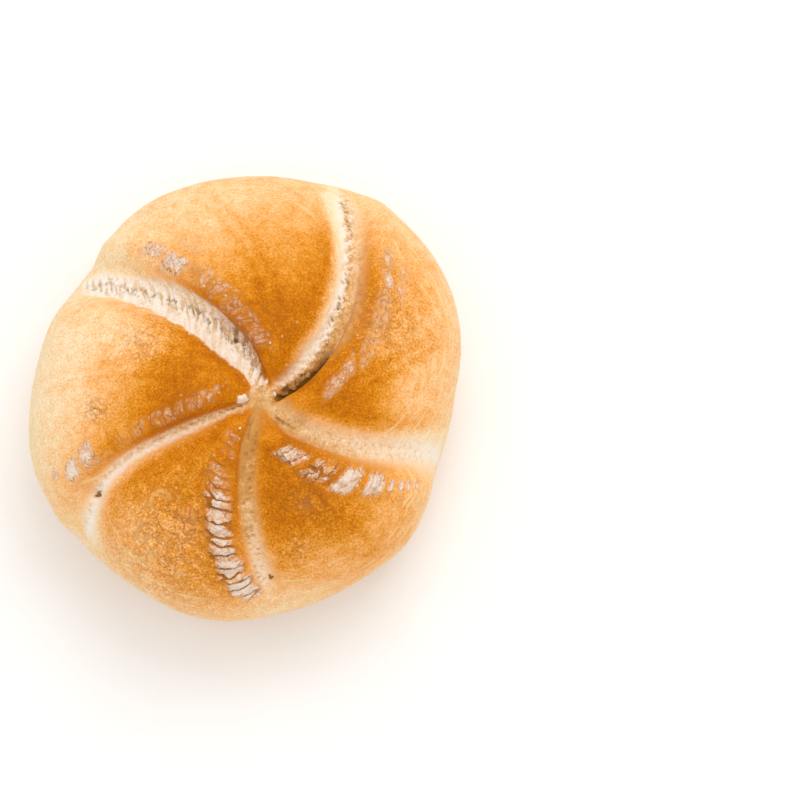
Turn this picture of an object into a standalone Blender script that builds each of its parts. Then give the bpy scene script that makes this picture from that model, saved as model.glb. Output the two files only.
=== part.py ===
# Bread roll with five curved folds that meet in a star on its top, as one solid.
# Lengths in the constants are millimetres and angles are degrees; the model itself is in metres.
# The origin is the middle of the flat base, +Z is up, and -Y is the side nearest the viewer.

import bmesh
import bpy
import numpy as np

MM = 0.001

# Overall form
HEIGHT = 50.0  # of the plain dome, before the folds swell it or cut it
BELLY_HEIGHT = 21.0  # level of the widest section
DOME_POWER = 2.35  # 2 is an ellipse, more is squarer
UNDERSIDE_POWER = 2.3
FOLDS_RUN_ON = 0.14  # how far past the belly a fold may run, as a share of the way from the star to it
BASE_SHARE = 0.72  # flat base against the widest section
DOME_ARC = 66.0  # from the star to the belly along the surface
OUTLINE_STEP = 20.0
OUTLINE_RADII = (
    50.5, 54.5, 57.0, 58.0, 55.0, 53.5, 53.0, 50.0, 50.5,
    51.0, 53.5, 53.0, 52.5, 54.0, 52.5, 51.5, 52.0, 49.5,
)
STAR = (5.0, -4.2)  # where the folds meet, seen from above
DIMPLE_DEPTH = 2.6
DIMPLE_RADIUS = 8.0
STAR_PIT = 2.4  # depth of the small pit where the folds run together
STAR_PIT_RADIUS = 5.0

# Each fold runs from the star to the belly. Its line leaves the star at "start" and turns by "sweep";
# "bend" above 1 turns late and below 1 turns early. "floor" is how wide its floor is on the lip side,
# "open" the share of that width at the star, "slope" the width of its smooth side, "end" where it dies
# out as a share of the way from the star to the belly, "ridge" how far the ridge behind its lip stands
# from its line, and "hollow" how much deeper it is right under the lip near the star. "torn" says how
# rough the crumb in it is, and "plates" how strongly that ridge is cracked into plates.
FOLDS = (
    {
        "start": 18.0, "sweep": 55.0, "bend": 0.86, "end": 1.02,
        "depth": 5.8, "hollow": 2.4, "floor": 3.8, "open": 0.4, "slope": 6.5, "ridge": 9.2,
        "torn": 0.55, "plates": 0.5,
    },
    {
        "start": 98.5, "sweep": 46.5, "bend": 0.6, "end": 1.06,
        "depth": 5.4, "hollow": 1.2, "floor": 4.8, "open": 0.6, "slope": 4.6, "ridge": 9.0,
        "torn": 1.0, "plates": 0.6,
    },
    {
        "start": 201.5, "sweep": 14.5, "bend": 4.5, "end": 1.14,
        "depth": 4.0, "hollow": 0.0, "floor": 1.7, "open": 0.4, "slope": 5.0, "ridge": 4.8,
        "torn": 0.2, "plates": 0.5,
    },
    {
        "start": 247.5, "sweep": 24.5, "bend": 0.9, "end": 1.00,
        "depth": 3.0, "hollow": 0.0, "floor": 1.6, "open": 0.4, "slope": 4.5, "ridge": 5.6,
        "torn": 0.2, "plates": 0.9,
    },
    {
        "start": 287.4, "sweep": 57.0, "bend": 0.45, "end": 1.08,
        "depth": 3.4, "hollow": 0.0, "floor": 2.4, "open": 0.4, "slope": 5.5, "ridge": 8.2,
        "torn": 0.15, "plates": 1.0,
    },
)
LIP_WALL = 1.5  # width of the steep wall under a fold's lip, near the star
WALL_GROWTH = 1.2  # how much wider than that the wall becomes further out
FLOOR_NARROWING = 0.3  # share of the floor that the wider wall takes up there
SMOOTH_FLOOR = 0.4  # width of the floor on the smooth side, against the lip side
LIP_WAVE = 0.35  # how far the lip strays from an even curve
LIP_WAVE_LENGTH = 6.0
LIP_DROP = 1.7  # how far the lip lies below the ridge behind it
RIDGE_HEIGHT = 1.0
RIDGE_WIDTH = 2.8
PETAL_SWELL = 1.6
OVERHANG = 1.8  # how far the lip leans over the fold near the star
HOLLOW_WIDTH = 1.6
HOLLOW_PLACE = 0.85  # of the way from the line of a fold to its lip

# Small relief
CRAG_HEIGHT = 0.7  # of the torn crumb
CRAG_LENGTH = 3.4
PLATE_LENGTH = 4.8  # along a ridge, from one crack to the next
PLATE_CRACK = 1.1  # depth of the cracks between plates
CRUST_UNEVENNESS = 0.22
CRUST_WAVE = 9.0
SCRAMBLE = (127.1, 311.7, 437.585)  # turn a cell of the random height into a number that looks random
# Holes, and with a negative depth crumbs, by their place seen from above
SPOTS = (
    {"place": (-36.7, -26.5), "radius": 1.5, "depth": 1.6},
    {"place": (7.0, -46.5), "radius": 1.3, "depth": 1.0},
    {"place": (-12.0, 18.5), "radius": 1.7, "depth": 1.3},
    {"place": (-1.0, 11.0), "radius": 1.6, "depth": 1.4},
    {"place": (0.5, -4.2), "radius": 1.2, "depth": -1.0},
)

# Mesh
CURVE_SAMPLES = 600  # along a curve, before its points are spaced evenly
SECTOR_COLUMNS = 21
DOME_ROWS = 43
UNDERSIDE_ROWS = 8
BASE_ROWS = 3
CROWDING = 1.5  # how much closer the columns stand beside a fold
CROWDING_WIDTH = 8.0


def smoothStep(low, high, value):
    share = np.clip((value - low) / (high - low), 0.0, 1.0)
    return share * share * (3.0 - 2.0 * share)


def outlineRadius(angle):
    """Radius of the widest section about the origin: a closed curve through the listed radii."""
    place = (angle % 360.0) / OUTLINE_STEP
    first = np.floor(place).astype(int)
    share = place - first
    radii = np.array(OUTLINE_RADII)
    before, here, after, beyond = (radii[(first + k) % len(radii)] for k in (-1, 0, 1, 2))
    return 0.5 * (
        2.0 * here
        + (after - before) * share
        + (2.0 * before - 5.0 * here + 4.0 * after - beyond) * share**2
        + (3.0 * here - before - 3.0 * after + beyond) * share**3
    )


def reachFromStar(angle):
    """Distance from the star to the widest section, in each direction seen from the star."""
    aim = np.stack([np.cos(np.radians(angle)), np.sin(np.radians(angle))], -1)
    reach = np.full(np.shape(angle), 50.0)
    for _ in range(12):
        spot = np.array(STAR) + aim * reach[..., None]
        seen = np.degrees(np.arctan2(spot[..., 1], spot[..., 0]))
        reach = reach + outlineRadius(seen) - np.hypot(spot[..., 0], spot[..., 1])
    return reach


def foldAngle(fold, out):
    """Direction of a fold's line, "out" of the way from the star to the belly."""
    return fold["start"] + fold["sweep"] * np.clip(out, 0.0, 1.0) ** fold["bend"]


def foldSlant(fold, out):
    """Cosine of the angle between a fold's line and the straight way out from the star."""
    turn = np.radians(fold["sweep"]) * fold["bend"] * np.clip(out, 1e-6, 1.0) ** fold["bend"]
    return 1.0 / np.sqrt(1.0 + turn**2)


def foldDepth(fold, way):
    """Depth along a fold, by the share of the way from the star to the belly along the surface."""
    return fold["depth"] * (0.5 + 0.5 * smoothStep(0.0, 0.22, way)) * (
        1.0 - smoothStep(0.55 * fold["end"], fold["end"], way)
    )


def floorWidth(fold, way):
    """Width of the floor on the lip side: narrow at the star, and narrower again where the wall widens."""
    growing = fold["open"] + (1.0 - fold["open"]) * smoothStep(0.0, 0.2, way)
    narrowing = 1.0 - FLOOR_NARROWING * smoothStep(0.3, 0.55, way)
    wave = LIP_WAVE * unevenness(way * DOME_ARC, fold["start"], LIP_WAVE_LENGTH) * smoothStep(0.0, 0.15, way)
    return fold["floor"] * growing * narrowing + wave


def smoothSide(fold, gap, way):
    """Share of the depth on the smooth side: dough that was stretched from the floor up to the petal."""
    width = fold["slope"] * (0.35 + 0.65 * smoothStep(0.0, 0.35, way))
    return np.exp(-((np.maximum(gap - SMOOTH_FLOOR * floorWidth(fold, way), 0.0) / width) ** 1.8))


def lipSide(fold, gap, way):
    """Share of the depth on the lip side: a floor, and a steep torn wall."""
    floor = floorWidth(fold, way)
    wall = LIP_WALL * (1.0 + WALL_GROWTH * smoothStep(0.3, 0.6, way))
    return 1.0 - smoothStep(floor, floor + wall, gap)


def hollow(fold, across, way):
    """Extra depth under the lip near the star; "across" is positive on the smooth side of the line."""
    reached = smoothStep(0.03, 0.09, way) * (1.0 - smoothStep(0.26, 0.36, way))
    apart = across + HOLLOW_PLACE * floorWidth(fold, way)
    return fold["hollow"] * reached * np.exp(-((apart / HOLLOW_WIDTH) ** 2))


def unevenness(along, across, length):
    """Smooth random height between -1 and 1 in lumps of about the given length, the same every time."""
    places = np.broadcast_arrays(along / length, across / length)
    cells = [np.floor(place) for place in places]
    shares = [smoothStep(0.0, 1.0, place - cell) for place, cell in zip(places, cells)]
    height = 0.0
    for step in (0, 1):
        for side in (0, 1):
            corner = np.sin((cells[0] + step) * SCRAMBLE[0] + (cells[1] + side) * SCRAMBLE[1]) * SCRAMBLE[2]
            weight = (shares[0] if step else 1.0 - shares[0]) * (shares[1] if side else 1.0 - shares[1])
            height = height + weight * (2.0 * (corner - np.floor(corner)) - 1.0)
    return height


def crags(fold, across, way):
    """Torn crumb on the floor of a fold; "across" is positive on the smooth side of its line."""
    floor = floorWidth(fold, way)
    inside = 1.0 - smoothStep(0.8 * floor, 1.2 * floor + 1.0, np.abs(across))
    fading = 1.0 - smoothStep(0.7, 0.95, way)
    return fold["torn"] * CRAG_HEIGHT * inside * fading * unevenness(way * DOME_ARC, across, CRAG_LENGTH)


def cracks(fold, gap, way):
    """Cracks that part the ridge behind a lip into plates."""
    along = way * DOME_ARC
    turn = 2.0 * np.pi * (along / PLATE_LENGTH) + 1.2 * unevenness(along, gap, 2.0 * PLATE_LENGTH)
    crack = (0.5 + 0.5 * np.cos(turn)) ** 3
    onRidge = np.exp(-(((gap - fold["ridge"]) / RIDGE_WIDTH) ** 4))
    reached = smoothStep(0.15, 0.24, way) * (1.0 - smoothStep(0.62, 0.78, way))
    return fold["plates"] * PLATE_CRACK * crack * onRidge * reached


def spotDepth(x, y):
    depth = 0.0
    for spot in SPOTS:
        apart = np.hypot(x - spot["place"][0], y - spot["place"][1])
        depth = depth + spot["depth"] * np.exp(-((apart / spot["radius"]) ** 2))
    return depth


def relief(before, after, gapBefore, gapAfter, way):
    """Height over the plain dome, between the fold before a point and the fold after it."""
    cutBefore = foldDepth(before, way) * smoothSide(before, gapBefore, way)
    depthAfter = foldDepth(after, way)
    bare = smoothStep(0.0, 0.12, way) * np.minimum(depthAfter / 3.0, 1.0)
    shoulder = 1.0 - smoothStep(floorWidth(after, way) + 0.5, after["ridge"], gapAfter)
    wall = (depthAfter - LIP_DROP * bare) * lipSide(after, gapAfter, way)
    cutAfter = np.maximum(wall + LIP_DROP * bare * shoulder, 0.0)
    cut = (cutBefore**4 + cutAfter**4) ** 0.25
    ridge = RIDGE_HEIGHT * bare * np.exp(-(((gapAfter - after["ridge"]) / RIDGE_WIDTH) ** 2))
    rough = crags(before, gapBefore, way) + crags(after, -gapAfter, way)
    deep = hollow(before, gapBefore, way) + hollow(after, -gapAfter, way)
    return ridge - cut + rough - deep - cracks(after, gapAfter, way)


def columnPlaces(length, count):
    """Places across a sector, closer together beside its two folds."""
    line = np.linspace(0.0, 1.0, CURVE_SAMPLES) * length
    crowd = line + CROWDING * CROWDING_WIDTH * (
        1.0
        - np.exp(-line / CROWDING_WIDTH)
        + np.exp(-(length - line) / CROWDING_WIDTH)
        - np.exp(-length / CROWDING_WIDTH)
    )
    wanted = np.linspace(crowd[0], crowd[-1], count + 1)[:-1]
    return np.interp(wanted, crowd, line) / length


def domeCurve(count):
    """Evenly spaced (share of the reach, level, share of the way) from the star to the belly."""
    turn = np.linspace(0.0, np.pi / 2, CURVE_SAMPLES)
    out = np.sin(turn) ** (2.0 / DOME_POWER)
    level = BELLY_HEIGHT + (HEIGHT - BELLY_HEIGHT) * np.cos(turn) ** (2.0 / DOME_POWER)
    steps = np.hypot(np.diff(out) * OUTLINE_RADII[0], np.diff(level))
    way = np.concatenate([[0.0], np.cumsum(steps)])
    wanted = np.linspace(0.0, way[-1], count + 1)
    share = wanted / way[-1]
    return np.interp(wanted, way, out), np.interp(wanted, way, level), share


def undersideCurve(count):
    """(Share of the widest section, level) from just under the belly to the edge of the flat base."""
    turn = np.linspace(0.0, np.pi / 2, count + 1)[1:]
    out = BASE_SHARE + (1.0 - BASE_SHARE) * np.cos(turn) ** (2.0 / UNDERSIDE_POWER)
    return out, BELLY_HEIGHT * (1.0 - np.sin(turn) ** (2.0 / UNDERSIDE_POWER))


def sectorRow(index, out, way):
    """One row of points across one petal, from the fold before it up to the fold after it."""
    before = FOLDS[index]
    after = FOLDS[(index + 1) % len(FOLDS)]
    low = foldAngle(before, out)
    high = foldAngle(after, out)
    high = high + 360.0 if high < low else high
    near = max(out, 0.02) * reachFromStar(np.array([0.5 * (low + high)]))[0]
    angle = low + (high - low) * columnPlaces(np.radians(high - low) * near, SECTOR_COLUMNS)
    reach = reachFromStar(angle)
    radius = out * reach
    gapBefore = np.radians(angle - low) * radius * foldSlant(before, out)
    gapAfter = np.radians(high - angle) * radius * foldSlant(after, out)
    x = STAR[0] + radius * np.cos(np.radians(angle))
    y = STAR[1] + radius * np.sin(np.radians(angle))
    apart = smoothStep(0.2 * STAR_PIT_RADIUS, STAR_PIT_RADIUS, radius)
    rise = apart * relief(before, after, gapBefore, gapAfter, way) - (1.0 - apart) * STAR_PIT
    petal = np.sin(np.pi * (angle - low) / (high - low)) ** 2
    rise = rise + PETAL_SWELL * petal * smoothStep(0.05, 0.5, way) * (1.0 - smoothStep(0.7, 1.1, way))
    rise = rise - DIMPLE_DEPTH * np.exp(-((radius / DIMPLE_RADIUS) ** 2))
    rise = rise + CRUST_UNEVENNESS * unevenness(x, y, CRUST_WAVE) * smoothStep(0.05, 0.3, way)
    return angle, reach, rise - spotDepth(x, y), gapAfter, after


def domePoints():
    """Rows of points from the star to the belly, each row a closed ring."""
    rows = []
    outs, levels, ways = domeCurve(DOME_ROWS)
    slopes = np.gradient(levels) / np.maximum(np.gradient(outs) * OUTLINE_RADII[0], 1e-6)
    for out, level, way, slope in zip(outs, levels, ways, slopes):
        ring = []
        upright = 1.0 / np.hypot(1.0, slope)
        outward = -slope * upright
        for index in range(len(FOLDS)):
            angle, reach, rise, gapAfter, after = sectorRow(index, out, way)
            lip = floorWidth(after, way) + LIP_WALL
            lean = OVERHANG * smoothStep(0.02, 0.12, way) * (1.0 - smoothStep(0.3, 0.75, way))
            lean = lean * after["depth"] / FOLDS[0]["depth"] * np.exp(-(((gapAfter - lip) / LIP_WALL) ** 2))
            radius = out * reach + rise * outward
            aim = np.radians(angle)
            x = STAR[0] + radius * np.cos(aim) - lean * np.sin(aim)
            y = STAR[1] + radius * np.sin(aim) + lean * np.cos(aim)
            ring.append(np.stack([x, y, level + rise * upright], -1))
        rows.append(np.concatenate(ring))
    return rows


def undersidePoints():
    """Rows under the belly, the last of them the edge of the flat base, then rings across the base."""
    angles = np.concatenate([sectorRow(index, 1.0, 1.0)[0] for index in range(len(FOLDS))])
    reach = reachFromStar(angles)
    aim = np.radians(angles)
    belly = np.array(STAR) + np.stack([np.cos(aim), np.sin(aim)], -1) * reach[:, None]
    size = np.hypot(belly[:, 0], belly[:, 1])
    outs, levels = undersideCurve(UNDERSIDE_ROWS)
    rows = []
    for step, (out, level) in enumerate(zip(outs, levels), 1):
        way = 1.0 + FOLDS_RUN_ON * step / UNDERSIDE_ROWS
        rise = np.concatenate([sectorRow(index, 1.0, way)[2] for index in range(len(FOLDS))])
        plan = belly * (out + rise * (1.0 - step / UNDERSIDE_ROWS) / size)[:, None]
        rows.append(np.concatenate([plan, np.full((len(plan), 1), level)], -1))
    edge = rows[-1]
    for step in range(1, BASE_ROWS + 1):
        rows.append(edge * np.array([1.0, 1.0, 0.0]) * (1.0 - step / (BASE_ROWS + 1)))
    return rows


def rollMesh():
    """The closed mesh: a fan at the star, a band between each two rings, and a fan under the base."""
    rows = domePoints()
    peak = rows[0].mean(axis=0)
    rings = rows[1:] + undersidePoints()
    points = np.concatenate([[peak], *rings, [[0.0, 0.0, 0.0]]])
    low, high = points.min(axis=0), points.max(axis=0)
    points = points - np.array([(low[0] + high[0]) / 2, (low[1] + high[1]) / 2, low[2]])
    shape = bmesh.new()
    verts = [shape.verts.new(point * MM) for point in points]
    around = len(rings[0])
    ringVerts = [verts[1 + k * around : 1 + (k + 1) * around] for k in range(len(rings))]
    for k in range(around):
        after = (k + 1) % around
        shape.faces.new((verts[0], ringVerts[0][k], ringVerts[0][after]))
        shape.faces.new((verts[-1], ringVerts[-1][after], ringVerts[-1][k]))
        for upper, lower in zip(ringVerts, ringVerts[1:]):
            shape.faces.new((upper[k], lower[k], lower[after], upper[after]))
    bmesh.ops.triangulate(shape, faces=shape.faces[:])
    mesh = bpy.data.meshes.new("bread_roll")
    shape.to_mesh(mesh)
    shape.free()
    mesh.shade_smooth()
    return mesh


def crustMaterial():
    material = bpy.data.materials.new("baked_crust")
    material.use_nodes = True
    finish = material.node_tree.nodes["Principled BSDF"]
    finish.inputs["Base Color"].default_value = (0.72, 0.36, 0.11, 1.0)
    finish.inputs["Roughness"].default_value = 0.55
    finish.inputs["Metallic"].default_value = 0.0
    return material


def main():
    for old in list(bpy.data.objects):
        bpy.data.objects.remove(old)
    roll = bpy.data.objects.new("bread_roll", rollMesh())
    roll.data.materials.append(crustMaterial())
    bpy.context.scene.collection.objects.link(roll)


main()
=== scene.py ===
import math
from functools import partial

import bpy
import numpy as np
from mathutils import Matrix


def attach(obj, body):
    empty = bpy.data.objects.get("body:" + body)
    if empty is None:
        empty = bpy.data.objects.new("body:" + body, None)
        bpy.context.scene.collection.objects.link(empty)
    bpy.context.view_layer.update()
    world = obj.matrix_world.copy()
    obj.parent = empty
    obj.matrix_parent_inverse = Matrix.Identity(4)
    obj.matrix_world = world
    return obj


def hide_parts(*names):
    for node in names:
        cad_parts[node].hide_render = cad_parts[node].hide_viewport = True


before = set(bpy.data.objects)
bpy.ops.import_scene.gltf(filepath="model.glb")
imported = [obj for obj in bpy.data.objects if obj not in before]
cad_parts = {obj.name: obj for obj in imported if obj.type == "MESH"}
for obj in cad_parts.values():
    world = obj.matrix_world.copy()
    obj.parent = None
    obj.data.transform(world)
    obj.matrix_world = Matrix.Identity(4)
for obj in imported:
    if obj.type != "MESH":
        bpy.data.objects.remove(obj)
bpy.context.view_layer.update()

mm = 0.001
print("frame loaded")

# The roll's form in mm and degrees, the same as the solid's: a dome and a belly on a flat base
rollForm = {
    "height": 50.0,
    "bellyHeight": 21.0,
    "domePower": 2.35,
    "undersidePower": 2.3,
    "baseShare": 0.72,
    "foldsRunOn": 0.14,  # past the belly, as a share of the way from the star to it
    "domeArc": 66.0,  # star to belly along the surface
    "outlineStep": 20.0,
    "outlineRadii": (
        50.5, 54.5, 57.0, 58.0, 55.0, 53.5, 53.0, 50.0, 50.5,
        51.0, 53.5, 53.0, 52.5, 54.0, 52.5, 51.5, 52.0, 49.5,
    ),
    "star": (5.0, -4.2),
    "dimpleDepth": 2.6,
    "dimpleRadius": 8.0,
    "starPit": 2.4,
    "starPitRadius": 5.0,
    "starCrumb": 3.4,  # radius of the bare crumb at the star
    "lipWall": 1.5,
    "wallGrowth": 1.2,
    "floorNarrowing": 0.3,
    "smoothFloor": 0.4,
    "lipWave": 0.35,
    "lipWaveLength": 6.0,
    "lipDrop": 1.7,
    "ridgeHeight": 1.0,
    "ridgeWidth": 2.8,
    "petalSwell": 1.6,
    "overhang": 1.8,
    "hollowWidth": 1.6,
    "hollowPlace": 0.85,
    "cragHeight": 0.7,
    "cragLength": 3.4,
    "plateLength": 4.8,
    "plateCrack": 1.1,
    "crustUnevenness": 0.22,
    "crustWave": 9.0,
    "scramble": (127.1, 311.7, 437.585),  # turn a cell into a height that looks random
}
# Folds, anticlockwise, one column each. The lines down to "plates" shape them as they shape the solid.
# The rest are looks. The pale crumb reaches lipWidths and smoothWidths from the fold's line, at bandPlaces
# along it, up to crumbEnd, and softLip and softSmooth blur its edges. "pale" lightens the crust beside it.
# The crumb's colour is "tone" on the smooth side of toneAt and lipShadedTone on the other, over toneSoft; the
# lip side's beige is partly the crumb's own colour and partly painted shade under the lip. "paling" makes it
# lighter outwards. "fibres" is how stringy it is on the smooth side, on the lip side and on its line of
# pores, which runs at poreAt and is poreWidth wide.
bandPlaces = (0.1, 0.2, 0.35, 0.5, 0.7)
foldTable = {
    "start": (18.0, 98.5, 201.5, 247.5, 287.4),
    "sweep": (55.0, 46.5, 14.5, 24.5, 57.0),
    "bend": (0.86, 0.6, 4.5, 0.9, 0.45),
    "end": (1.02, 1.06, 1.14, 1.00, 1.08),
    "depth": (5.8, 5.4, 4.0, 3.0, 3.4),
    "hollow": (2.4, 1.2, 0.0, 0.0, 0.0),
    "floor": (3.8, 4.8, 1.7, 1.6, 2.4),
    "open": (0.4, 0.6, 0.4, 0.4, 0.4),
    "slope": (6.5, 4.6, 5.0, 4.5, 5.5),
    "ridge": (9.2, 9.0, 4.8, 5.6, 8.2),
    "torn": (0.55, 1.0, 0.2, 0.2, 0.15),
    "plates": (0.5, 0.6, 0.5, 0.9, 1.0),
    "lipWidths": (
        (2.6, 3.7, 5.6, 4.7, 3.5), (3.2, 4.6, 5.0, 5.0, 3.4), (1.4, 1.8, 2.0, 1.8, 1.4),
        (1.8, 1.9, 1.4, 1.2, 1.0), (2.4, 2.2, 2.4, 2.9, 2.4),
    ),
    "smoothWidths": (
        (2.4, 3.4, 2.9, 2.2, 1.4), (2.2, 3.9, 4.4, 4.0, 2.8), (1.0, 1.2, 1.5, 1.6, 1.8),
        (2.0, 2.4, 2.6, 2.8, 2.7), (3.2, 3.2, 3.2, 3.3, 3.6),
    ),
    "crumbEnd": (0.94, 0.97, 0.98, 0.86, 1.06),
    "softLip": (1.2, 0.6, 0.8, 1.0, 1.8),
    "softSmooth": (1.1, 0.4, 0.8, 1.3, 1.4),
    "pale": (0.65, 0.0, 0.3, 0.15, 0.4),
    "paling": (0.9, 0.5, 0.8, 1.3, 0.9),
    "tone": (0.0, 0.08, 0.12, 0.7, 0.48),
    # darker than tone partly as painted shade under the lip
    "lipShadedTone": (0.78, 0.30, 0.5, 0.84, 0.6),
    "toneAt": (0.6, -2.2, 0.3, 0.0, 0.0),
    "toneSoft": (0.8, 1.8, 0.8, 2.0, 2.0),
    "fibres": ((0.22, 0.10, 0.5), (0.35, 0.35, 0.7), (0.15, 0.1, 0.2), (0.1, 0.1, 0.0), (0.1, 0.1, 0.0)),
    "pores": (1.0, 0.75, 0.3, 0.6, 0.3),
    "poreAt": (
        (-0.8, -0.2, 0.8, 0.6, -0.6), (-1.9, -1.9, -0.8, -0.2, 0.0), (-0.6, -0.6, -0.6, -0.6, -0.6),
        (0.6, 0.6, 0.6, 0.6, 0.6), (0.5, 0.5, 0.5, 0.5, 0.5),
    ),
    "poreWidth": (1.2, 1.7, 0.9, 1.6, 2.4),
}
folds = [dict(zip(foldTable, column)) for column in zip(*foldTable.values())]
# Holes and crumbs that the solid has too: place seen from above, radius, depth, and how dark they look, which
# is painted shade in the holes
spots = (
    ((-36.7, -26.5), 1.5, 1.6, 0.95),
    ((7.0, -46.5), 1.3, 1.0, 0.9),
    ((-12.0, 18.5), 1.7, 1.3, 0.35),
    ((-1.0, 11.0), 1.6, 1.4, 0.4),
    ((0.5, -4.2), 1.2, -1.0, 0.0),
)


def smoothStep(low, high, value):
    share = np.clip((value - low) / (high - low), 0.0, 1.0)
    return share * share * (3.0 - 2.0 * share)


def bell(apart, width, power=2):
    return np.exp(-((apart / width) ** power))


def outlineRadius(angle):
    radii = np.array(rollForm["outlineRadii"])
    place = (angle % 360.0) / rollForm["outlineStep"]
    first = np.floor(place).astype(int)
    share = place - first
    before, here, after, beyond = (radii[(first + k) % len(radii)] for k in (-1, 0, 1, 2))
    return 0.5 * (
        2.0 * here
        + (after - before) * share
        + (2.0 * before - 5.0 * here + 4.0 * after - beyond) * share**2
        + (3.0 * here - before - 3.0 * after + beyond) * share**3
    )


def reachFromStar(angle):
    aim = np.stack([np.cos(np.radians(angle)), np.sin(np.radians(angle))], -1)
    reach = np.full(np.shape(angle), 50.0)
    for _ in range(12):  # settles to well under a micrometre
        spot = np.array(rollForm["star"]) + aim * reach[..., None]
        seen = np.degrees(np.arctan2(spot[..., 1], spot[..., 0]))
        reach = reach + outlineRadius(seen) - np.hypot(spot[..., 0], spot[..., 1])
    return reach


def foldAngle(fold, out):
    return fold["start"] + fold["sweep"] * np.clip(out, 0.0, 1.0) ** fold["bend"]


def foldSlant(fold, out):
    turn = np.radians(fold["sweep"]) * fold["bend"] * np.clip(out, 1e-6, 1.0) ** fold["bend"]
    return 1.0 / np.sqrt(1.0 + turn**2)


def foldDepth(fold, way):
    return fold["depth"] * (0.5 + 0.5 * smoothStep(0.0, 0.22, way)) * (
        1.0 - smoothStep(0.55 * fold["end"], fold["end"], way)
    )


def floorWidth(fold, way):
    growing = fold["open"] + (1.0 - fold["open"]) * smoothStep(0.0, 0.2, way)
    narrowing = 1.0 - rollForm["floorNarrowing"] * smoothStep(0.3, 0.55, way)
    stray = unevenness(way * rollForm["domeArc"], fold["start"], rollForm["lipWaveLength"])
    return fold["floor"] * growing * narrowing + rollForm["lipWave"] * stray * smoothStep(0.0, 0.15, way)


def smoothSide(fold, gap, way):
    width = fold["slope"] * (0.35 + 0.65 * smoothStep(0.0, 0.35, way))
    return bell(np.maximum(gap - rollForm["smoothFloor"] * floorWidth(fold, way), 0.0), width, 1.8)


def lipSide(fold, gap, way):
    floor = floorWidth(fold, way)
    wall = rollForm["lipWall"] * (1.0 + rollForm["wallGrowth"] * smoothStep(0.3, 0.6, way))
    return 1.0 - smoothStep(floor, floor + wall, gap)


def hollowShare(fold, across, way):
    reached = smoothStep(0.03, 0.09, way) * (1.0 - smoothStep(0.26, 0.36, way))
    apart = across + rollForm["hollowPlace"] * floorWidth(fold, way)
    return reached * bell(apart, rollForm["hollowWidth"])


def unevenness(along, across, length):
    places = np.broadcast_arrays(along / length, across / length)
    cells = [np.floor(place) for place in places]
    shares = [smoothStep(0.0, 1.0, place - cell) for place, cell in zip(places, cells)]
    height, scramble = 0.0, rollForm["scramble"]
    for step in (0, 1):
        for side in (0, 1):
            corner = np.sin((cells[0] + step) * scramble[0] + (cells[1] + side) * scramble[1]) * scramble[2]
            weight = (shares[0] if step else 1.0 - shares[0]) * (shares[1] if side else 1.0 - shares[1])
            height = height + weight * (2.0 * (corner - np.floor(corner)) - 1.0)
    return height


def crags(fold, across, way):
    floor = floorWidth(fold, way)
    inside = 1.0 - smoothStep(0.8 * floor, 1.2 * floor + 1.0, np.abs(across))
    fading = 1.0 - smoothStep(0.7, 0.95, way)
    rough = unevenness(way * rollForm["domeArc"], across, rollForm["cragLength"])
    return fold["torn"] * rollForm["cragHeight"] * inside * fading * rough


def cracks(fold, gap, way):
    along = way * rollForm["domeArc"]
    length = rollForm["plateLength"]
    turn = 2.0 * np.pi * (along / length) + 1.2 * unevenness(along, gap, 2.0 * length)
    crack = (0.5 + 0.5 * np.cos(turn)) ** 3
    onRidge = bell(gap - fold["ridge"], rollForm["ridgeWidth"], 4)
    reached = smoothStep(0.15, 0.24, way) * (1.0 - smoothStep(0.62, 0.78, way))
    return fold["plates"] * rollForm["plateCrack"] * crack * onRidge * reached


def relief(before, after, gapBefore, gapAfter, way):
    cutBefore = foldDepth(before, way) * smoothSide(before, gapBefore, way)
    depthAfter = foldDepth(after, way)
    bare = smoothStep(0.0, 0.12, way) * np.minimum(depthAfter / 3.0, 1.0)
    shoulder = 1.0 - smoothStep(floorWidth(after, way) + 0.5, after["ridge"], gapAfter)
    drop = rollForm["lipDrop"] * bare
    cutAfter = np.maximum((depthAfter - drop) * lipSide(after, gapAfter, way) + drop * shoulder, 0.0)
    cut = (cutBefore**4 + cutAfter**4) ** 0.25
    crest = bell(gapAfter - after["ridge"], rollForm["ridgeWidth"])
    rough = crags(before, gapBefore, way) + crags(after, -gapAfter, way)
    deep = before["hollow"] * hollowShare(before, gapBefore, way)
    deep = deep + after["hollow"] * hollowShare(after, -gapAfter, way)
    return rollForm["ridgeHeight"] * bare * crest - cut + rough - deep - cracks(after, gapAfter, way)


def domeCurve(count):
    turn = np.linspace(0.0, np.pi / 2, bodyGrid["curveSamples"])
    belly, top = rollForm["bellyHeight"], rollForm["height"]
    out = np.sin(turn) ** (2.0 / rollForm["domePower"])
    level = belly + (top - belly) * np.cos(turn) ** (2.0 / rollForm["domePower"])
    steps = np.hypot(np.diff(out) * rollForm["outlineRadii"][0], np.diff(level))
    run = np.concatenate([[0.0], np.cumsum(steps)])
    wanted = np.linspace(0.0, run[-1], count + 1)
    return np.interp(wanted, run, out), np.interp(wanted, run, level), wanted / run[-1]


def undersideCurve(count):
    turn = np.linspace(0.0, np.pi / 2, count + 1)[1:]
    power = 2.0 / rollForm["undersidePower"]
    out = rollForm["baseShare"] + (1.0 - rollForm["baseShare"]) * np.cos(turn) ** power
    return out, rollForm["bellyHeight"] * (1.0 - np.sin(turn) ** power)


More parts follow.
